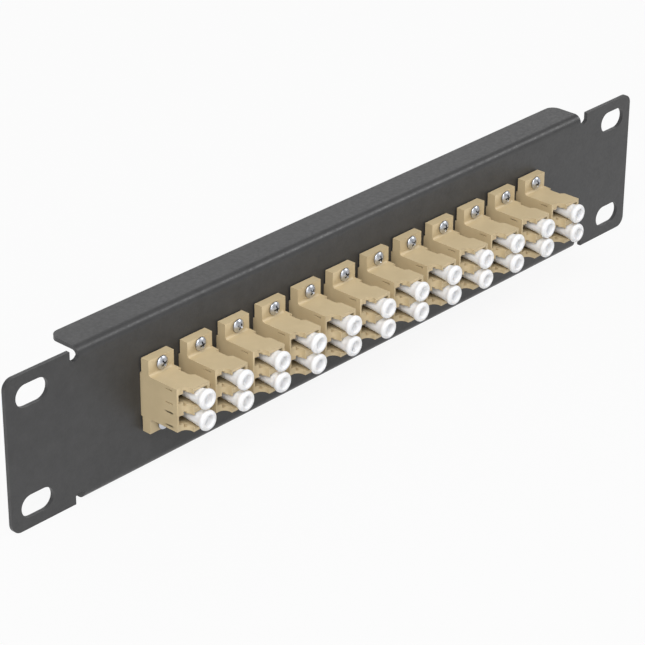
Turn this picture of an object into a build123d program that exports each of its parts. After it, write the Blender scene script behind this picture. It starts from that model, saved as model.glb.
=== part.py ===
from build123d import *
from math import cos, pi, radians, sin
import os

# A ten-inch, one-unit fibre patch panel with twelve duplex couplers.
# X runs to the right seen from the front, Y runs back, Z runs up, in millimetres.
# The origin is the middle of the slot pattern, on the rear face of the ears.

# Sheet panel
PANEL_WIDTH = 254.0
PANEL_HEIGHT = 44.4
SHEET = 1.2
BEND_RADIUS = 2.4
FLANGE_LENGTH = 204.8
FLANGE_BACK = 10.1
FLANGE_CORNER = 3.0
EAR_CORNER = 3.0
RELIEF_WIDTH = 3.0
RELIEF_BOTTOM = 19.0

# Rack slots
SLOT_SPACING_X = 236.525
SLOT_SPACING_Z = 31.75
SLOT_LENGTH = 10.8
SLOT_HEIGHT = 6.5

# Row of couplers
COUPLER_COUNT = 12
PITCH = 14.0
ROW_Z = 0.6
CUTOUT_WIDTH = 9.6
CUTOUT_HEIGHT = 13.3

# Coupler housing
BODY_WIDTH = 9.1
BODY_HEIGHT = 12.6
TAB_THICKNESS = 3.1
TAB_HEIGHT = 21.6
COLLAR_WIDTH = 9.7
NOSE_FRONT = -17.35
LATCH_FRONT = -14.55
NOSE_LEFT = -1.4
SCOOP_RADIUS = 2.05
POCKET_DEPTH = 0.4
POCKET_FRONT = -10.9
POCKET_BACK = -7.2
NOTCH_DEPTH = 0.9
NOTCH_HEIGHT = 0.45

# Ports, measured from the middle of the coupler
PORT_X = 1.4
PORT_PITCH = 6.25
PORT_LEFT = -2.4
PORT_RIGHT = 3.75
PORT_HEIGHT = 4.7
LATCH_SLOT_LEFT = -3.95
LATCH_SLOT_HEIGHT = 2.5

# Wall between front and rear ports, with its tubes and their slit sleeves
WALL_THICKNESS = 2.0
TUBE_RADIUS = 1.45
TUBE_REACH = 4.5
SLEEVE_RADIUS = 0.85
SLEEVE_BORE = 0.66
SLEEVE_LENGTH = 6.8
SLEEVE_SLIT = 0.3
SLEEVE_CLEARANCE = 0.03

# Flats around the small round pieces, few because there are so many of them
CAP_SIDES = 12
SCREW_SIDES = 8
HIDDEN_SIDES = 6

# Dust caps
CAP_TIP_RADIUS = 1.75
CAP_TIP_DEPTH = 8.0
CAP_MOUTH_RADIUS = 2.33
CAP_HEAD_RADIUS = 2.88
CAP_HEAD_LENGTH = 3.1

# Screws
SCREW_OFFSET = 8.9
SCREW_LENGTH = 6.0
SCREW_RADIUS = 1.0
HEAD_RADIUS = 1.95
HEAD_TOP_RADIUS = 1.45
HEAD_HEIGHT = 1.4
TAB_HOLE_RADIUS = 1.15
TAPPED_HOLE_RADIUS = 1.05

# Places worked out from the sizes above
TAB_FRONT = -SHEET - TAB_THICKNESS
MIDDLE_Y = -SHEET - TAB_THICKNESS / 2
COUPLER_X = [(i - (COUPLER_COUNT - 1) / 2) * PITCH for i in range(COUPLER_COUNT)]
PORT_Z = {"upper": ROW_Z + PORT_PITCH / 2, "lower": ROW_Z - PORT_PITCH / 2}

# Sketches on this plane extrude from the front towards the back
FRONT_VIEW = Plane(origin=(0, 0, 0), x_dir=(1, 0, 0), z_dir=(0, -1, 0))


def slab(sketch, front, back):
    """Extrude a sketch drawn in the front view between two Y places."""
    return Pos(0, back, 0) * extrude(FRONT_VIEW * sketch, amount=back - front)


def round_form(rings, sides):
    """A round form about the Y axis made of flats, from (Y place, radius) rings."""
    points = [
        (radius * cos(2 * pi * i / sides), y, radius * sin(2 * pi * i / sides))
        for y, radius in rings
        for i in range(sides)
    ]
    return ConvexPolyhedron(points)


def rear_half(part):
    """The mirror image of a part on the other side of the tab's middle."""
    return mirror(part, Plane(origin=(0, MIDDLE_Y, 0), x_dir=(1, 0, 0), z_dir=(0, 1, 0)))


# Sheet panel
def folded_channel():
    """The web with its top and bottom flanges folded back."""
    outer = Rectangle(FLANGE_BACK + SHEET, PANEL_HEIGHT)
    outer = fillet(outer.vertices().group_by(Axis.X)[0], BEND_RADIUS)
    inner = Rectangle(FLANGE_BACK + SHEET, PANEL_HEIGHT - 2 * SHEET)
    inner = fillet(inner.vertices().group_by(Axis.X)[0], BEND_RADIUS - SHEET)
    section = outer - Pos(SHEET, 0) * inner
    side_view = Plane(origin=(0, 0, 0), x_dir=(0, 1, 0), z_dir=(1, 0, 0))
    middle = Pos(-FLANGE_LENGTH / 2, (FLANGE_BACK - SHEET) / 2, 0)
    channel = middle * extrude(side_view * section, amount=FLANGE_LENGTH)
    corners = channel.edges().filter_by(Axis.Z).group_by(Axis.Y)[-1]
    return fillet(corners, FLANGE_CORNER)


def face_plate():
    """The flat plate with its ears, cut back where the bends and reliefs are."""
    outline = RectangleRounded(PANEL_WIDTH, PANEL_HEIGHT, EAR_CORNER)
    bend_line = PANEL_HEIGHT / 2 - BEND_RADIUS
    strip_length = FLANGE_LENGTH + 2 * RELIEF_WIDTH
    relief_radius = RELIEF_WIDTH / 2
    for side in (1, -1):
        outline -= Pos(0, side * (bend_line + 5)) * Rectangle(strip_length, 10)
    for x in (-FLANGE_LENGTH / 2 - relief_radius, FLANGE_LENGTH / 2 + relief_radius):
        for side in (1, -1):
            outline -= Pos(x, side * (RELIEF_BOTTOM + relief_radius)) * Circle(relief_radius)
    return slab(outline, -SHEET, 0)


def build_panel():
    panel = folded_channel() + face_plate()
    slots = GridLocations(SLOT_SPACING_X, SLOT_SPACING_Z, 2, 2) * SlotOverall(SLOT_LENGTH, SLOT_HEIGHT)
    cutouts = [Pos(x, ROW_Z) * Rectangle(CUTOUT_WIDTH, CUTOUT_HEIGHT) for x in COUPLER_X]
    holes = [
        Pos(x, ROW_Z + side * SCREW_OFFSET) * RegularPolygon(TAPPED_HOLE_RADIUS, HIDDEN_SIDES)
        for x in COUPLER_X
        for side in (1, -1)
    ]
    return panel - slab(Sketch() + slots + cutouts + holes, -SHEET - 1, 1)


# Coupler housing
def pocket(depth, bottom, top):
    """A recess in the right side between two heights, its front end sloped."""
    right = BODY_WIDTH / 2
    outline = Polyline(
        (right, POCKET_FRONT),
        (right - depth, POCKET_FRONT + depth),
        (right - depth, POCKET_BACK),
        (right, POCKET_BACK),
        close=True,
    )
    return Pos(0, 0, bottom) * extrude(make_face(outline), amount=top - bottom)


def half_housing():
    """The front half: a nose on the right, a scooped step back to the latch side on the left."""
    left = -BODY_WIDTH / 2
    right = BODY_WIDTH / 2
    scoop_start = (NOSE_LEFT - SCOOP_RADIUS, LATCH_FRONT)
    scoop_end = (NOSE_LEFT, LATCH_FRONT - SCOOP_RADIUS)
    scoop_points = [
        (scoop_start[0] + SCOOP_RADIUS * sin(turn), scoop_end[1] + SCOOP_RADIUS * cos(turn))
        for turn in (radians(30), radians(60))
    ]
    outline = (
        Polyline((left, MIDDLE_Y), (left, LATCH_FRONT), scoop_start)
        + Polyline(scoop_start, *scoop_points, scoop_end)
        + Polyline(scoop_end, (NOSE_LEFT, NOSE_FRONT), (right, NOSE_FRONT), (right, MIDDLE_Y))
        + Line((right, MIDDLE_Y), (left, MIDDLE_Y))
    )
    top = BODY_HEIGHT / 2
    half = Pos(0, 0, -top) * extrude(make_face(outline), amount=BODY_HEIGHT)
    half -= pocket(POCKET_DEPTH, -top, top)
    half -= pocket(NOTCH_DEPTH, top - NOTCH_HEIGHT, top)
    return half - pocket(NOTCH_DEPTH, -top, NOTCH_HEIGHT - top)


def port_sketch():
    """The mouth of one port with its latch slot to the left."""
    middle = (PORT_LEFT + PORT_RIGHT) / 2
    mouth = Pos(middle, 0) * Rectangle(PORT_RIGHT - PORT_LEFT, PORT_HEIGHT)
    slot_middle = (LATCH_SLOT_LEFT + PORT_LEFT) / 2
    latch_slot = Pos(slot_middle, 0) * Rectangle(PORT_LEFT - LATCH_SLOT_LEFT, LATCH_SLOT_HEIGHT)
    return mouth + latch_slot


def build_coupler():
    front = half_housing()
    body = front + rear_half(front)
    tab = slab(Rectangle(BODY_WIDTH, TAB_HEIGHT), TAB_FRONT, -SHEET)
    collar = slab(Rectangle(COLLAR_WIDTH, BODY_HEIGHT), TAB_FRONT, -SHEET)
    ports = Sketch() + [Pos(0, side * PORT_PITCH / 2) * port_sketch() for side in (1, -1)]
    front_ports = slab(ports, NOSE_FRONT - 1, MIDDLE_Y - WALL_THICKNESS / 2)
    rear_ports = rear_half(front_ports)
    spots = [Pos(PORT_X, side * PORT_PITCH / 2) for side in (1, -1)]
    tubes = Sketch() + [spot * RegularPolygon(TUBE_RADIUS, HIDDEN_SIDES) for spot in spots]
    bore_radius = SLEEVE_RADIUS + SLEEVE_CLEARANCE
    bores = Sketch() + [spot * RegularPolygon(bore_radius, HIDDEN_SIDES) for spot in spots]
    holes = [
        Pos(0, side * SCREW_OFFSET) * RegularPolygon(TAB_HOLE_RADIUS, HIDDEN_SIDES)
        for side in (1, -1)
    ]
    housing = body + tab + collar - front_ports - rear_ports
    housing += slab(tubes, MIDDLE_Y - TUBE_REACH, MIDDLE_Y + TUBE_REACH)
    housing -= slab(bores, MIDDLE_Y - TUBE_REACH - 1, MIDDLE_Y + TUBE_REACH + 1)
    return housing - slab(Sketch() + holes, TAB_FRONT - 1, 0)


# Inside the couplers
def build_split_sleeve():
    """One slit sleeve, centred on its port."""
    section = RegularPolygon(SLEEVE_RADIUS, HIDDEN_SIDES) - RegularPolygon(SLEEVE_BORE, HIDDEN_SIDES)
    section -= Pos(SLEEVE_RADIUS, 0) * Rectangle(2 * SLEEVE_RADIUS, SLEEVE_SLIT)
    return slab(section, MIDDLE_Y - SLEEVE_LENGTH / 2, MIDDLE_Y + SLEEVE_LENGTH / 2)


# Dust caps
def build_cap():
    """One dust cap: a tapered stem that wedges in the mouth of its port, and a flared head."""
    face = (NOSE_FRONT - CAP_HEAD_LENGTH, CAP_HEAD_RADIUS)
    mouth = (NOSE_FRONT, CAP_MOUTH_RADIUS)
    tip = (NOSE_FRONT + CAP_TIP_DEPTH, CAP_TIP_RADIUS)
    return round_form([face, mouth], CAP_SIDES) + round_form([mouth, tip], CAP_SIDES)


# Screws
def build_screw():
    """One pan-head screw, its head bearing on the tab."""
    top = (TAB_FRONT - HEAD_HEIGHT, HEAD_TOP_RADIUS)
    seat = (TAB_FRONT, HEAD_RADIUS)
    neck = (TAB_FRONT, SCREW_RADIUS)
    tip = (TAB_FRONT + SCREW_LENGTH, SCREW_RADIUS)
    return round_form([top, seat], SCREW_SIDES) + round_form([neck, tip], HIDDEN_SIDES)


# Nodes
def build_nodes():
    coupler = build_coupler()
    sleeve = build_split_sleeve()
    front_cap = build_cap()
    rear_cap = rear_half(front_cap)
    screw = build_screw()

    nodes = {"panel": build_panel()}
    sleeves = []
    rear_caps = []
    screws = {"upper": [], "lower": []}
    for index, x in enumerate(COUPLER_X, start=1):
        nodes[f"coupler_{index:02d}"] = Pos(x, 0, ROW_Z) * coupler
        for level, z in PORT_Z.items():
            port = Pos(x + PORT_X, 0, z)
            nodes[f"front_cap_{index:02d}_{level}"] = port * front_cap
            rear_caps.append(port * rear_cap)
            sleeves.append(port * sleeve)
        screws["upper"].append(Pos(x, 0, ROW_Z + SCREW_OFFSET) * screw)
        screws["lower"].append(Pos(x, 0, ROW_Z - SCREW_OFFSET) * screw)
    nodes["split_sleeves"] = Compound(children=sleeves)
    nodes["rear_caps"] = Compound(children=rear_caps)
    for level, row in screws.items():
        nodes[f"{level}_screws"] = Compound(children=row)
    return nodes


os.makedirs("parts", exist_ok=True)
for name, shape in build_nodes().items():
    export_step(shape, f"parts/{name}.step")
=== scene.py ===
import math
import random

import bmesh
import bpy
from mathutils import Matrix, Vector
from mathutils.geometry import delaunay_2d_cdt


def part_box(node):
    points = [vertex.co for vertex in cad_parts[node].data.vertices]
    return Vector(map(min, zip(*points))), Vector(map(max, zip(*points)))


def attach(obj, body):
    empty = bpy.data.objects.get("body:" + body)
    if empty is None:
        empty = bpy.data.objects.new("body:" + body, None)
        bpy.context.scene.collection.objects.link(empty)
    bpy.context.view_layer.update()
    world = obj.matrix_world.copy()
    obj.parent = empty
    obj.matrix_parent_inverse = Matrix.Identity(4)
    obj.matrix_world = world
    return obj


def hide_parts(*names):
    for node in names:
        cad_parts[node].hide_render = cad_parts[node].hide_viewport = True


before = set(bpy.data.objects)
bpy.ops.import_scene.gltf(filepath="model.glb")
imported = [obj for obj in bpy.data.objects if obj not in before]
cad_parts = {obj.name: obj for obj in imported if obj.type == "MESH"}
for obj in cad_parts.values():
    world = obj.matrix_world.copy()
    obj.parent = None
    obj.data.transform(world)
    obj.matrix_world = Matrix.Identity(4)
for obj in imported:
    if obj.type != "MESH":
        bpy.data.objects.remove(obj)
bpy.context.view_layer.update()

MM = 0.001

# Camera, solved from the photograph's edges on the panel's real width and height
PHOTO_SIZE = 645
FOCAL_PIXELS = 2620.6
SENSOR = 36.0
CAMERA_PLACE = Vector((-487.0, -438.85, 330.7)) * MM
CAMERA_AZIMUTH = -47.329
CAMERA_ELEVATION = 27.446
CAMERA_ROLL = 0.289

# Sizes repeated from the part, in millimetres
COUPLER_COUNT = 12
MIDDLE_Y = -2.75
TAB_FRONT = -4.3
SCREW_OFFSET = 8.9
PORT_X = 1.4
PORT_PITCH = 6.25
LEVELS = {"upper": 1, "lower": -1}


def middle(node):
    """The middle of a solid's box in the frame."""
    low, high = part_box(node)
    return (Vector(low) + Vector(high)) / 2


COUPLER_NAMES = [f"coupler_{i:02d}" for i in range(1, COUPLER_COUNT + 1)]
COUPLER_PLACES = [middle(name) for name in COUPLER_NAMES]
FLOOR_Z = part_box("panel")[0][2]

# Materials
NOISE_SPAN = (0.3, 0.7)


class Nodes:
    """A small helper that builds one node-based material."""

    def __init__(self, name):
        self.material = bpy.data.materials.new(name)
        self.material.use_nodes = True
        self.tree = self.material.node_tree
        self.shader = self.tree.nodes["Principled BSDF"]

    def add(self, kind, **values):
        node = self.tree.nodes.new(kind)
        for key, value in values.items():
            setattr(node, key, value)
        return node

    def link(self, source, target):
        self.tree.links.new(source, target)

    def feed(self, **sources):
        """Links sockets to the shader's inputs."""
        for key, source in sources.items():
            self.link(source, self.shader.inputs[key.replace("_", " ")])

    def set(self, **values):
        """Sets constants on the shader's own inputs."""
        for key, value in values.items():
            self.shader.inputs[key.replace("_", " ")].default_value = value

    def noise(self, scale, detail, roughness=0.5):
        place = self.add("ShaderNodeTexCoord")
        texture = self.add("ShaderNodeTexNoise")
        texture.inputs["Scale"].default_value = scale
        texture.inputs["Detail"].default_value = detail
        texture.inputs["Roughness"].default_value = roughness
        self.link(place.outputs["Object"], texture.inputs["Vector"])
        return texture.outputs["Fac"]

    def mottle(self, noise, dark, light):
        """A colour that wanders between two shades."""
        ramp = self.add("ShaderNodeValToRGB")
        for element, place, color in zip(ramp.color_ramp.elements, NOISE_SPAN, (dark, light)):
            element.position = place
            element.color = (*color, 1)
        self.link(noise, ramp.inputs["Fac"])
        return ramp.outputs["Color"]

    def between(self, noise, low, high):
        """A value that wanders between two others."""
        scale = self.add("ShaderNodeMapRange")
        scale.inputs["From Min"].default_value = NOISE_SPAN[0]
        scale.inputs["From Max"].default_value = NOISE_SPAN[1]
        scale.inputs["To Min"].default_value = low
        scale.inputs["To Max"].default_value = high
        self.link(noise, scale.inputs["Value"])
        return scale.outputs["Result"]

    def grain(self, noise, distance, strength):
        """Fine relief of a depth in metres."""
        bump = self.add("ShaderNodeBump")
        bump.inputs["Distance"].default_value = distance
        bump.inputs["Strength"].default_value = strength
        self.link(noise, bump.inputs["Height"])
        return bump.outputs["Normal"]

    def math(self, operation, first, second=None):
        """A sum on a socket and, where there is a second, a number or another socket."""
        node = self.add("ShaderNodeMath", operation=operation)
        self.link(first, node.inputs[0])
        if isinstance(second, (int, float)):
            node.inputs[1].default_value = second
        elif second is not None:
            self.link(second, node.inputs[1])
        return node.outputs[0]

    def step(self, value, low, high):
        """A soft step from 0 at low to 1 at high."""
        node = self.add("ShaderNodeMapRange", interpolation_type="SMOOTHSTEP")
        node.inputs["From Min"].default_value = low
        node.inputs["From Max"].default_value = high
        self.link(value, node.inputs["Value"])
        return node.outputs["Result"]

    def tint(self, mask, base, color):
        """The base colour, turned to another colour where the mask is 1."""
        mix = self.add("ShaderNodeMix", data_type="RGBA")
        sockets = {socket.identifier: socket for socket in (*mix.inputs, *mix.outputs)}
        self.link(mask, sockets["Factor_Float"])
        self.link(base, sockets["A_Color"])
        sockets["B_Color"].default_value = (*color, 1)
        return sockets["Result_Color"]


def powder_coat():
    m = Nodes("powder_coat")
    m.feed(
        Base_Color=m.mottle(m.noise(260, 4), (0.036, 0.036, 0.037), (0.045, 0.045, 0.046)),
        Roughness=m.between(m.noise(900, 2), 0.36, 0.48),
        Normal=m.grain(m.noise(1500, 2, 0.6), 0.00006, 0.5),
    )
    return m.material


def beige_plastic():
    m = Nodes("beige_plastic")
    m.feed(
        Base_Color=m.mottle(m.noise(220, 3), (0.545, 0.435, 0.262), (0.585, 0.47, 0.287)),
        Roughness=m.between(m.noise(700, 2), 0.38, 0.5),
        Normal=m.grain(m.noise(2600, 2, 0.6), 0.00002, 0.4),
    )
    return m.material


def white_plastic():
    m = Nodes("white_plastic")
    m.feed(
        Base_Color=m.mottle(m.noise(300, 2), (0.84, 0.84, 0.85), (0.88, 0.88, 0.885)),
        Roughness=m.between(m.noise(800, 2), 0.34, 0.46),
        Normal=m.grain(m.noise(2000, 2), 0.00002, 0.3),
    )
    m.set(Subsurface_Weight=0.25, Subsurface_Scale=0.002, Subsurface_Radius=(1.0, 0.9, 0.8))
    return m.material


def zinc():
    """Bright zinc with painted shade: surfaces facing across the screw's line, the sides of the heads
    and the walls of the cross recesses, are tinted near black.
    """
    m = Nodes("zinc")
    split = m.add("ShaderNodeSeparateXYZ")
    m.link(m.add("ShaderNodeTexCoord").outputs["Normal"], split.inputs["Vector"])
    facing = m.math("ABSOLUTE", split.outputs["Y"])
    bright = m.mottle(m.noise(900, 4), (0.52, 0.54, 0.58), (0.64, 0.66, 0.71))
    m.feed(
        # Painted shade: the colour goes near black where the surface faces across the screw's line
        # rather than to the front.
        Base_Color=m.tint(m.step(facing, 0.62, 0.25), bright, (0.09, 0.09, 0.095)),
        Roughness=m.between(m.noise(1800, 3), 0.32, 0.46),
        Normal=m.grain(m.noise(2500, 2), 0.00002, 0.4),
    )
    m.set(Metallic=1.0)
    return m.material


def zirconia():
    m = Nodes("zirconia")
    m.feed(
        Base_Color=m.mottle(m.noise(500, 2), (0.80, 0.79, 0.74), (0.86, 0.85, 0.81)),
        Roughness=m.between(m.noise(1200, 2), 0.14, 0.24),
    )
    return m.material


ROOT = "panel_assembly"
MATERIALS = {
    "powder_coat": powder_coat(),
    "beige_plastic": beige_plastic(),
    "white_plastic": white_plastic(),
    "zinc": zinc(),
    "zirconia": zirconia(),
}


def paint(obj, name):
    obj.data.materials.clear()
    obj.data.materials.append(MATERIALS[name])


# New pieces
def new_object(name, mesh, body, slot, node):
    """A visible piece that rides on a body and replaces a solid."""
    obj = bpy.data.objects.new(name, mesh)
    bpy.context.scene.collection.objects.link(obj)
    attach(obj, body)
    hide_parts(node)
    paint(obj, slot)
    return obj


def append(target, piece):
    """Adds one mesh in the making to another."""
    mesh = finish_mesh(piece, "piece")
    target.from_mesh(mesh)
    bpy.data.meshes.remove(mesh)


def finish_mesh(bm, name):
    mesh = bpy.data.meshes.new(name)
    bm.to_mesh(mesh)
    bm.free()
    return mesh


def shade(bm, crisp=None):
    """Shades a mesh smooth, but for the edges sharper than a crisp angle in degrees."""
    for face in bm.faces:
        face.smooth = True
    if crisp is None:
        return
    for edge in bm.edges:
        if len(edge.link_faces) == 2:
            edge.smooth = edge.calc_face_angle() < math.radians(crisp)


def unit(angle):
    return Vector((math.cos(angle), math.sin(angle)))


def turns(steps):
    """Even turns of a full circle, in radians."""
    return [2 * math.pi * step / steps for step in range(steps)]


def arc(centre, radius, start, end, steps):
    """Points of an arc in a profile, angles in degrees."""
    points = []
    for step in range(steps + 1):
        turn = math.radians(start + (end - start) * step / steps)
        points.append((centre[0] + radius * math.cos(turn), centre[1] + radius * math.sin(turn)))
    return points


def circle(centre, radius, steps):
    return arc(centre, radius, 0, 360, steps)[:-1]


def rectangle(left, right, bottom, top):
    return [(left, bottom), (right, bottom), (right, top), (left, top)]


def join_rings(bm, one, two):
    """Faces from one closed ring of corners to the next; a ring of one corner is a point."""
    count = max(len(one), len(two))
    for i in range(count):
        j = (i + 1) % count
        if len(one) == 1:
            bm.faces.new((one[0], two[i], two[j]))
        elif len(two) == 1:
            bm.faces.new((one[i], two[0], one[j]))
        else:
            bm.faces.new((one[i], two[i], two[j], one[j]))


def lathe(profile, steps, place):
    """A closed surface turned about a line along Y; the profile is radius and Y in millimetres."""
    bm = bmesh.new()
    rings = []
    for radius, y in profile:
        spokes = [radius * MM * unit(turn) for turn in (turns(steps) if radius else [0])]
        rings.append([bm.verts.new((place.x + spoke.x, y * MM, place.z + spoke.y)) for spoke in spokes])
    for one, two in zip(rings, rings[1:]):
        join_rings(bm, one, two)
    bmesh.ops.recalc_face_normals(bm, faces=bm.faces)
    shade(bm)
    return bm


# Dust caps, in millimetres
CAP_FACE = -20.45
CAP_TIP = -9.35
TIP_RADIUS = 1.5
TIP_ROUNDING = 0.25
TAPER = [(1.98, -13.5), (2.2, -16.2), (2.33, -17.5), (2.45, -18.3), (2.6, -18.75)]
RIM_OUTSIDE = 0.9
RIM_INSIDE = 0.4
HOLLOW = [(1.5, 1.5), (1.4, 1.75), (1.15, 1.85), (0, 1.9)]
CAP_PROFILE = (
    [(0, CAP_TIP)]
    + arc((TIP_RADIUS, CAP_TIP - TIP_ROUNDING), TIP_ROUNDING, 90, 0, 3)
    + TAPER
    + arc((1.98, CAP_FACE + RIM_OUTSIDE), RIM_OUTSIDE, 35, -90, 10)
    + arc((1.93, CAP_FACE + RIM_INSIDE), RIM_INSIDE, -90, -180, 5)
    + [(radius, CAP_FACE + depth) for radius, depth in HOLLOW]
)
FRONT_CAP_SIDES = 48
REAR_CAP_SIDES = 40


def mirrored(profile):
    return [(radius, 2 * MIDDLE_Y - y) for radius, y in profile]


def port_places():
    for index, place in enumerate(COUPLER_PLACES, start=1):
        for level, side in LEVELS.items():
            spot = place + Vector((PORT_X, 0, side * PORT_PITCH / 2)) * MM
            yield f"front_cap_{index:02d}_{level}", spot


def make_caps():
    rear = bmesh.new()
    for node, spot in port_places():
        name = node + "_smooth"
        mesh = finish_mesh(lathe(CAP_PROFILE, FRONT_CAP_SIDES, spot), name)
        new_object(name, mesh, node, "white_plastic", node)
        append(rear, lathe(mirrored(CAP_PROFILE), REAR_CAP_SIDES, spot))
    mesh = finish_mesh(rear, "rear_caps_smooth")
    new_object("rear_caps_smooth", mesh, ROOT, "white_plastic", "rear_caps")


# Couplers, measured from the middle of each in millimetres
SHEET_FRONT = -1.2
BODY_SIDE = 4.55
BODY_TOP = 6.3
TAB_TOP = 10.8
TAB_BACK = -1.55
TAB_HOLE_RADIUS = 1.15
TAB_HOLE_SIDES = 24
TAB_FILLET = 0.9
FILLET_LEFT = -4.5
FILLET_RIGHT = 3.6
SEAT_TOP = 6.5
SEAT_INSET = 0.02
SEAT_OVERLAP = 0.4
NOSE_FRONT = -17.35
NOSE_LEFT = -1.4
LATCH_FRONT = -14.55
SCOOP_RADIUS = 2.05
PORT_BACK = -3.75
TUBE_RADIUS = 1.45
TUBE_REACH = 4.5
TUBE_SIDES = 24
BORE_RADIUS = 0.88
BORE_SIDES = 20
POCKET_FRONT = -12.0
POCKET_BACK = -6.8
POCKET_SLOPE = 0.76
POCKET_DEPTH = 0.4
NOTCH_DEPTH = 1.05
NOTCH_BOTTOM = 5.75
NOTCH_INSET = 0.03
GROOVE_BACK = -10.2
GROOVE_FRONT = -12.9
GROOVE_DEPTH = 0.5
GROOVE_HEIGHTS = (1.35, 5.3)
GROOVE_BACK_HALF = 0.12
GROOVE_FRONT_HALF = 0.22

# The left edges and heights of latch slot, shelf, neck and mouth, and the port's right edge
PORT_EDGES = (-3.95, -2.5, -1.8, -1.0, 3.75)
PORT_HEIGHTS = (2.5, 4.6, 3.5, 4.7)

# How far pieces sink into each other, stand past a wall they cut, and past a piece they cut through
SUNK = 0.01
PAST = 0.5
CLEAR = 1.0

# The width asked of the bevel, and the angles in degrees from which edges are bevelled and stay crisp
EDGE_BEVEL = 0.24
BEVEL_ANGLE = 30
COUPLER_CRISP = 28


def prism(outline, low, high, axis):
    """A closed prism: an outline in the plane across an axis, run along it between two places."""
    order = {"X": (2, 0, 1), "Y": (0, 2, 1), "Z": (0, 1, 2)}[axis]
    bm = bmesh.new()
    ends = []
    for height in (low, high):
        points = [(a, b, height) for a, b in outline]
        ends.append([bm.verts.new([point[i] for i in order]) for point in points])
    bm.faces.new(ends[0])
    bm.faces.new(ends[1])
    for i in range(len(outline)):
        j = (i + 1) % len(outline)
        bm.faces.new((ends[0][i], ends[0][j], ends[1][j], ends[1][i]))
    bmesh.ops.recalc_face_normals(bm, faces=bm.faces)
    return bm


def reflected(bm, middle_y=None):
    """The mirror image of a mesh, front to rear about a place or, without one, top to bottom."""
    image = bm.copy()
    for vert in image.verts:
        if middle_y is None:
            vert.co.z = -vert.co.z
        else:
            vert.co.y = 2 * middle_y - vert.co.y
    bmesh.ops.recalc_face_normals(image, faces=image.faces)
    return image


def top_and_bottom(bm):
    return [bm, reflected(bm)]


def front_and_rear(pieces):
    return pieces + [reflected(piece, MIDDLE_Y) for piece in pieces]


def combine(base, pieces, operation):
    """The base mesh with all pieces joined to it or cut out of it."""
    objects = []
    for number, bm in enumerate([base] + pieces):
        name = f"making_{number}"
        objects.append(bpy.data.objects.new(name, finish_mesh(bm, name)))
        bpy.context.scene.collection.objects.link(objects[-1])
    for tool in objects[1:]:
        modifier = objects[0].modifiers.new("making", "BOOLEAN")
        modifier.operation = operation
        modifier.solver = "MANIFOLD"
        modifier.object = tool
    made = objects[0].evaluated_get(bpy.context.evaluated_depsgraph_get()).to_mesh()
    result = bmesh.new()
    result.from_mesh(made)
    for obj in objects:
        mesh = obj.data
        bpy.data.objects.remove(obj)
        bpy.data.meshes.remove(mesh)
    return result


def bevel_edges(bm):
    """A bevel on the sharp edges. Clamping leaves it almost no width, but it parts the large faces."""
    sharp = []
    for edge in bm.edges:
        if len(edge.link_faces) == 2 and edge.calc_face_angle() > math.radians(BEVEL_ANGLE):
            sharp.append(edge)
    bmesh.ops.bevel(
        bm, geom=sharp, offset=EDGE_BEVEL, segments=3, profile=0.5, affect="EDGES", clamp_overlap=True
    )
    return bm


def body_shape():
    """The body seen from above: the scooped step and the nose, and the same again to the rear."""
    scoop = arc((NOSE_LEFT - SCOOP_RADIUS, LATCH_FRONT - SCOOP_RADIUS), SCOOP_RADIUS, 90, 0, 10)
    front = [(-BODY_SIDE, LATCH_FRONT)] + scoop + [(NOSE_LEFT, NOSE_FRONT), (BODY_SIDE, NOSE_FRONT)]
    rear = [(x, 2 * MIDDLE_Y - y) for x, y in reversed(front)]
    return prism(front + rear, -BODY_TOP, BODY_TOP, "Z")


def tab_fillet():
    """The curved corner between the tab and the body, sunk a little into both."""
    y = TAB_FRONT - TAB_FILLET + SUNK
    z = BODY_TOP + TAB_FILLET - SUNK
    curve = arc((y, z), TAB_FILLET, 0, -90, 6)
    inside = [(y, BODY_TOP - PAST), (TAB_FRONT + PAST, BODY_TOP - PAST), (TAB_FRONT + PAST, z)]
    return prism(curve + inside, FILLET_LEFT, FILLET_RIGHT, "X")


def port_shape(side):
    """Latch slot, shelf, neck and mouth of one port, from the front to the inner wall."""
    middle_z = side * PORT_PITCH / 2
    upper = []
    for left, right, height in zip(PORT_EDGES, PORT_EDGES[1:], PORT_HEIGHTS):
        upper += [(left, height / 2), (right, height / 2)]
    outline = [(x, middle_z + z) for x, z in upper] + [(x, middle_z - z) for x, z in reversed(upper)]
    return prism(outline, NOSE_FRONT - CLEAR, PORT_BACK, "Y")


def pocket_shape(depth, bottom, top, inset=0):
    """A recess in the right side whose front end slopes, drawn in a little at both ends by its inset."""
    outline = [
        (BODY_SIDE + PAST, POCKET_FRONT + inset - PAST * POCKET_SLOPE),
        (BODY_SIDE - depth, POCKET_FRONT + inset + depth * POCKET_SLOPE),
        (BODY_SIDE - depth, POCKET_BACK - inset),
        (BODY_SIDE + PAST, POCKET_BACK - inset),
    ]
    return prism(outline, bottom, top, "Z")


def groove_shape(height):
    """A short groove in the left wall that widens towards the front."""
    outline = [
        (GROOVE_BACK, height - GROOVE_BACK_HALF),
        (GROOVE_BACK, height + GROOVE_BACK_HALF),
        (GROOVE_FRONT, height + GROOVE_FRONT_HALF),
        (GROOVE_FRONT, height - GROOVE_FRONT_HALF),
    ]
    return prism(outline, -BODY_SIDE - PAST, -BODY_SIDE + GROOVE_DEPTH, "X")


def wall_cuts():
    """All that is cut into the walls of the front half, and the same again to the rear."""
    cuts = [port_shape(side) for side in LEVELS.values()]
    cuts += [pocket_shape(POCKET_DEPTH, -BODY_TOP - CLEAR, BODY_TOP + CLEAR)]
    cuts += top_and_bottom(pocket_shape(NOTCH_DEPTH, NOTCH_BOTTOM, BODY_TOP + 2 * CLEAR, NOTCH_INSET))
    for height in GROOVE_HEIGHTS:
        cuts += top_and_bottom(groove_shape(height))
    return front_and_rear(cuts)


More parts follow.
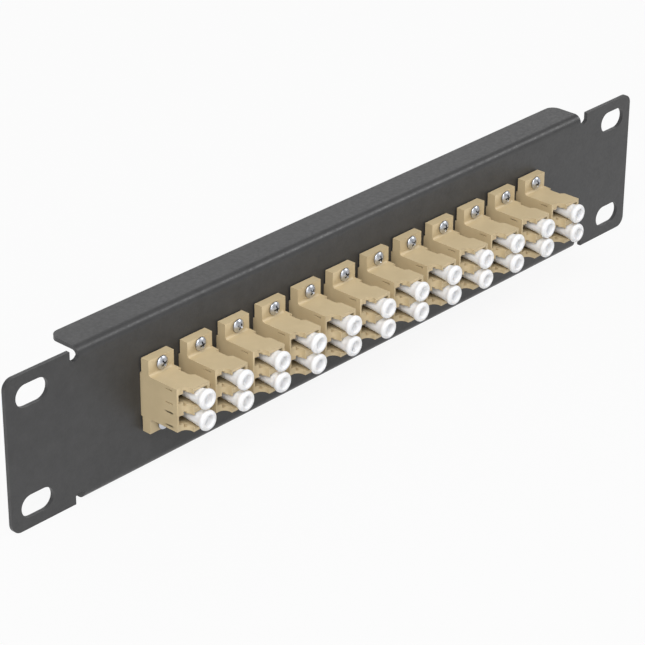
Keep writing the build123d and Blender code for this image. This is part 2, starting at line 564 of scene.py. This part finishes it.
def coupler_shape():
    """One coupler about its own middle, in millimetres."""
    tab = prism(rectangle(-BODY_SIDE, BODY_SIDE, -TAB_TOP, TAB_TOP), TAB_FRONT, TAB_BACK, "Y")
    seat_side = BODY_SIDE - SEAT_INSET
    seat_outline = rectangle(-seat_side, seat_side, -SEAT_TOP, SEAT_TOP)
    seat = prism(seat_outline, TAB_BACK - SEAT_OVERLAP, SHEET_FRONT, "Y")
    shell = bevel_edges(combine(body_shape(), [tab], "UNION"))
    shell = combine(shell, [seat] + top_and_bottom(tab_fillet()), "UNION")
    hole = circle((0, SCREW_OFFSET), TAB_HOLE_RADIUS, TAB_HOLE_SIDES)
    holes = top_and_bottom(prism(hole, TAB_FRONT - CLEAR, TAB_BACK + CLEAR, "Y"))
    shell = combine(shell, wall_cuts() + holes, "DIFFERENCE")
    spot = (PORT_X, PORT_PITCH / 2)
    ends = (MIDDLE_Y - TUBE_REACH, MIDDLE_Y + TUBE_REACH)
    tube = prism(circle(spot, TUBE_RADIUS, TUBE_SIDES), *ends, "Y")
    bore = prism(circle(spot, BORE_RADIUS, BORE_SIDES), ends[0] - CLEAR, ends[1] + CLEAR, "Y")
    shell = combine(shell, top_and_bottom(tube), "UNION")
    return combine(shell, top_and_bottom(bore), "DIFFERENCE")


def make_couplers():
    shape = coupler_shape()
    shade(shape, COUPLER_CRISP)
    for node, place in zip(COUPLER_NAMES, COUPLER_PLACES):
        copy = shape.copy()
        for vert in copy.verts:
            vert.co = vert.co * MM + Vector((place.x, 0, place.z))
        name = node + "_moulded"
        obj = new_object(name, finish_mesh(copy, name), ROOT, "beige_plastic", node)
        normals = obj.modifiers.new("normals", "WEIGHTED_NORMAL")
        normals.keep_sharp = True
    shape.free()


# Screws, in millimetres
HEAD_HEIGHT = 1.4
HEAD_SIDES = 48
DOME_RADIUS = 2.54
DOME_RINGS = (0.35, 0.75, 1.15, 1.35, 1.55, 1.72, 1.85)
RIM_AND_NECK = ((1.93, 0.45), (1.95, 0.35), (1.88, 0.28), (1.5, 0.22), (1.5, 0))
RECESS_REACH = 1.0
RECESS_HALF_WIDTH = 0.23
RECESS_DEPTH = 0.8
RECESS_POINT = 0.15
RECESS_FLOOR_REACH = 0.42
RECESS_FLOOR_HALF_WIDTH = 0.14
RECESS_MARGIN = 0.97
SCREW_CRISP = 40
SCREW_SEED = 7
SHANK_RADIUS = 1.0
SHANK_SIDES = 24
SHANK_START = TAB_FRONT - 0.2
SCREW_TIP = TAB_FRONT + 6.0
THREAD_PITCH = 0.4
THREAD_DEPTH = 0.2
TIP_DEPTH = 0.25


def dome_height(radius):
    return HEAD_HEIGHT - DOME_RADIUS + math.sqrt(DOME_RADIUS ** 2 - radius ** 2)


def cross(reach, half_width, turn):
    """The twelve corners of a cross, turned about its middle."""
    corners = []
    for quarter in range(4):
        along = unit(turn + quarter * math.pi / 2)
        across = Vector((-along.y, along.x))
        corners.append(reach * along - half_width * across)
        corners.append(reach * along + half_width * across)
        corners.append(half_width * along + half_width * across)
    return corners


def inside_cross(point, turn):
    x = point.x * math.cos(turn) + point.y * math.sin(turn)
    z = point.y * math.cos(turn) - point.x * math.sin(turn)
    narrow, wide = sorted((abs(x), abs(z)))
    return narrow < RECESS_HALF_WIDTH and wide < RECESS_REACH


def dome_pattern(outline, turn):
    """The dome seen from the front: its points, and its triangles around the outline of the recess."""
    points = [radius * unit(angle) for radius in DOME_RINGS for angle in turns(HEAD_SIDES)]
    points = [point for point in points if not inside_cross(point * RECESS_MARGIN, turn)]
    first = len(points)
    count = len(outline)
    edges = [(first + i, first + (i + 1) % count) for i in range(count)]
    flat, _, triangles, *_ = delaunay_2d_cdt(points + outline, edges, [], 0, 1e-5)
    kept = []
    for triangle in triangles:
        centre = sum((flat[i] for i in triangle), Vector((0, 0))) / 3
        if not inside_cross(centre, turn):
            kept.append(triangle)
    return flat, kept


def screw_head(place, turn):
    """A domed head with a cross recess, its seat on the tab."""
    bm = bmesh.new()

    def corner(point, height):
        return bm.verts.new((place.x + point.x * MM, (TAB_FRONT - height) * MM, place.z + point.y * MM))

    outline = cross(RECESS_REACH, RECESS_HALF_WIDTH, turn)
    flat, triangles = dome_pattern(outline, turn)
    dome = [corner(point, dome_height(point.length)) for point in flat]
    for triangle in triangles:
        bm.faces.new([dome[i] for i in triangle])
    floor_outline = cross(RECESS_FLOOR_REACH, RECESS_FLOOR_HALF_WIDTH, turn)
    edge = [corner(point, dome_height(point.length)) for point in outline]
    floor = [corner(point, HEAD_HEIGHT - RECESS_DEPTH) for point in floor_outline]
    deepest = corner(Vector((0, 0)), HEAD_HEIGHT - RECESS_DEPTH - RECESS_POINT)
    join_rings(bm, edge, floor)
    join_rings(bm, floor, [deepest])
    levels = ((DOME_RINGS[-1], dome_height(DOME_RINGS[-1])), *RIM_AND_NECK)
    sides = []
    for radius, height in levels:
        sides.append([corner(radius * unit(angle), height) for angle in turns(HEAD_SIDES)])
    for one, two in zip(sides, sides[1:]):
        join_rings(bm, one, two)
    bm.faces.new(sides[-1])
    bmesh.ops.remove_doubles(bm, verts=bm.verts, dist=1e-7)
    bmesh.ops.recalc_face_normals(bm, faces=bm.faces)
    shade(bm, SCREW_CRISP)
    return bm


def shank_profile():
    """A threaded shank from inside the head to the tip, as ridges turned about the screw's line."""
    profile = [(0, SHANK_START), (SHANK_RADIUS, SHANK_START), (SHANK_RADIUS, TAB_FRONT)]
    y = TAB_FRONT + THREAD_PITCH
    while y < SCREW_TIP - THREAD_PITCH:
        profile += [(SHANK_RADIUS, y), (SHANK_RADIUS - THREAD_DEPTH, y + THREAD_PITCH / 2)]
        y += THREAD_PITCH
    return profile + [(SHANK_RADIUS, y), (SHANK_RADIUS - TIP_DEPTH, SCREW_TIP), (0, SCREW_TIP)]


def make_screws():
    rng = random.Random(SCREW_SEED)
    for level, side in LEVELS.items():
        row = bmesh.new()
        for place in COUPLER_PLACES:
            spot = place + Vector((0, 0, side * SCREW_OFFSET)) * MM
            append(row, screw_head(spot, rng.uniform(0, math.pi / 2)))
            append(row, lathe(shank_profile(), SHANK_SIDES, spot))
        name = f"{level}_screws_turned"
        new_object(name, finish_mesh(row, name), ROOT, "zinc", f"{level}_screws")


# Solids that keep their own mesh
PANEL_ROUNDING = 0.2 * MM


def dress_panel():
    """Paints the sheet and rounds its cut edges a little."""
    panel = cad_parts["panel"]
    paint(panel, "powder_coat")
    for polygon in panel.data.polygons:
        polygon.use_smooth = True
    bevel = panel.modifiers.new("edges", "BEVEL")
    bevel.width = PANEL_ROUNDING
    bevel.segments = 2
    bevel.limit_method = "ANGLE"
    bevel.angle_limit = math.radians(30)
    bevel.harden_normals = True


# Stage
FLOOR_HALF = 3.0
FLOOR_WHITENESS = 0.92
WORLD_LIGHT = 0.36

# Name, place, target, size in metres and power in watts of each lamp
LAMPS = (
    ("key", (-0.85, -0.55, 1.1), (-0.03, 0, 0), (0.9, 0.9), 16.5),
    ("fill", (0.98, -0.7, 0.9), (0, 0, 0), (0.5, 0.4), 6),
    ("front", (-0.9, -1.0, 0.25), (0, 0, 0), (0.6, 0.5), 2),
    ("rim", (0.25, 1.05, 0.62), (-0.05, 0, 0), (2.4, 0.5), 4),
)


def make_floor():
    """A pale floor that the camera sees a little whiter than it lights the part."""
    mesh = bpy.data.meshes.new("floor")
    square = rectangle(-FLOOR_HALF, FLOOR_HALF, -FLOOR_HALF, FLOOR_HALF)
    mesh.from_pydata([(x, y, FLOOR_Z) for x, y in square], [], [(0, 1, 2, 3)])
    floor = bpy.data.objects.new("floor", mesh)
    bpy.context.scene.collection.objects.link(floor)
    m = Nodes("floor")
    m.feed(Base_Color=m.mottle(m.noise(4, 2), (0.56, 0.56, 0.56), (0.58, 0.58, 0.58)))
    m.set(Roughness=0.9)
    white = m.add("ShaderNodeEmission")
    path = m.add("ShaderNodeLightPath")
    seen = m.math("MAXIMUM", path.outputs["Is Camera Ray"], path.outputs["Is Glossy Ray"])
    mix = m.add("ShaderNodeMixShader")
    m.link(m.math("MULTIPLY", seen, FLOOR_WHITENESS), mix.inputs["Fac"])
    m.link(m.shader.outputs["BSDF"], mix.inputs[1])
    m.link(white.outputs["Emission"], mix.inputs[2])
    m.link(mix.outputs["Shader"], m.tree.nodes["Material Output"].inputs["Surface"])
    floor.data.materials.append(m.material)


def make_lamps():
    for name, place, target, size, power in LAMPS:
        light = bpy.data.lights.new(name, "AREA")
        light.shape = "RECTANGLE"
        light.size, light.size_y = size
        light.energy = power
        obj = bpy.data.objects.new(name, light)
        obj.location = place
        obj.rotation_euler = (Vector(target) - Vector(place)).to_track_quat("-Z", "Y").to_euler()
        bpy.context.scene.collection.objects.link(obj)


def make_world():
    """White light from all round, and a white background for the camera."""
    world = bpy.data.worlds.new("studio")
    bpy.context.scene.world = world
    world.use_nodes = True
    tree = world.node_tree
    light = tree.nodes["Background"]
    seen = tree.nodes.new("ShaderNodeBackground")
    for background, strength in ((light, WORLD_LIGHT), (seen, 1.0)):
        background.inputs["Color"].default_value = (1, 1, 1, 1)
        background.inputs["Strength"].default_value = strength
    path = tree.nodes.new("ShaderNodeLightPath")
    mix = tree.nodes.new("ShaderNodeMixShader")
    tree.links.new(path.outputs["Is Camera Ray"], mix.inputs["Fac"])
    tree.links.new(light.outputs["Background"], mix.inputs[1])
    tree.links.new(seen.outputs["Background"], mix.inputs[2])
    tree.links.new(mix.outputs["Shader"], tree.nodes["World Output"].inputs["Surface"])


def make_camera():
    azimuth = math.radians(CAMERA_AZIMUTH)
    elevation = math.radians(CAMERA_ELEVATION)
    roll = math.radians(CAMERA_ROLL)
    back = Vector((
        math.sin(azimuth) * math.cos(elevation),
        -math.cos(azimuth) * math.cos(elevation),
        math.sin(elevation),
    ))
    level = (-back).cross(Vector((0, 0, 1))).normalized()
    upright = level.cross(-back)
    right = math.cos(roll) * level + math.sin(roll) * upright
    up = right.cross(-back)
    data = bpy.data.cameras.new("camera")
    data.sensor_width = SENSOR
    data.lens = FOCAL_PIXELS / PHOTO_SIZE * SENSOR
    data.clip_start = 0.01
    camera = bpy.data.objects.new("camera", data)
    turned = Matrix((right, up, back)).transposed().to_4x4()
    camera.matrix_world = Matrix.Translation(CAMERA_PLACE) @ turned
    bpy.context.scene.collection.objects.link(camera)
    bpy.context.scene.camera = camera


make_camera()
dress_panel()
paint(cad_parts["split_sleeves"], "zirconia")
make_caps()
make_couplers()
make_screws()
make_floor()
make_lamps()
make_world()
bpy.context.scene.view_settings.view_transform = "Standard"
